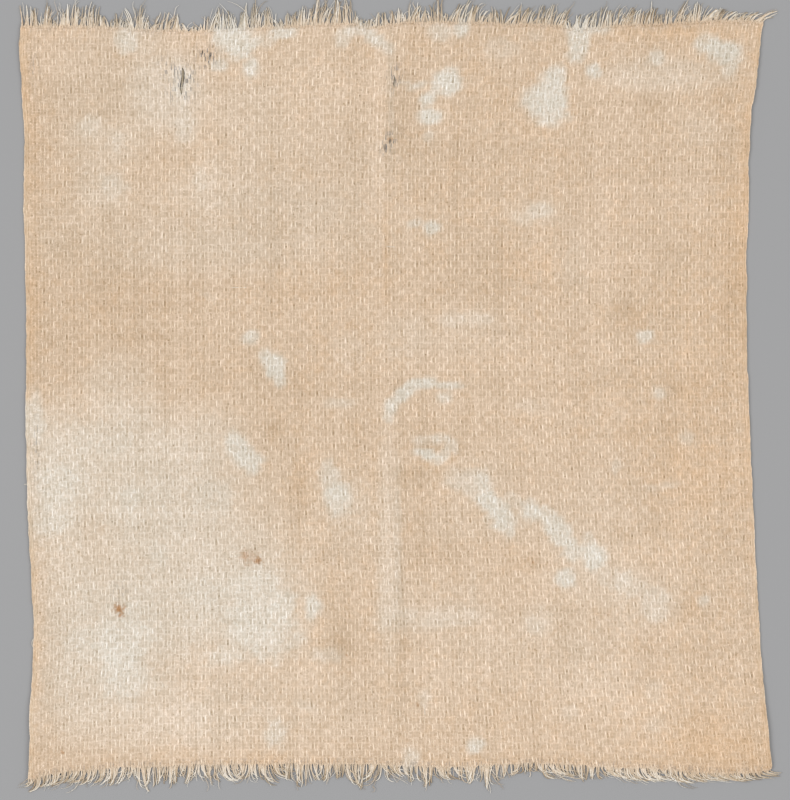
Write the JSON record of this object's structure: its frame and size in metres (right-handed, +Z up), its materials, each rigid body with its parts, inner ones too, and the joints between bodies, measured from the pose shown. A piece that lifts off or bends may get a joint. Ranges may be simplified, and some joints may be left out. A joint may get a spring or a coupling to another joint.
{
  "type": "linen cloth",
  "caption": "Flat square of worn huckaback linen with a small staggered float weave, selvedges at the sides and ravelled fringe along both cut ends.",
  "frame": {"origin": "under the middle of the whole piece's box, on the surface that it lies on", "axes": "+Z up, out of the cloth's face; +Y along the warp, towards the upper fringe; +X along the weft, towards the right selvedge"},
  "size_m": [0.3502, 0.3648, 0.0035],
  "materials": {
    "linen_ground": "matt tan linen, bleached pale in soft patches",
    "linen_yarn": "cream linen yarn with a faint sheen"
  },
  "bodies": {
    "root": {"cloth": "linen_ground", "fringe_top": "linen_yarn", "fringe_bottom": "linen_yarn"}
  },
  "joints": []
}
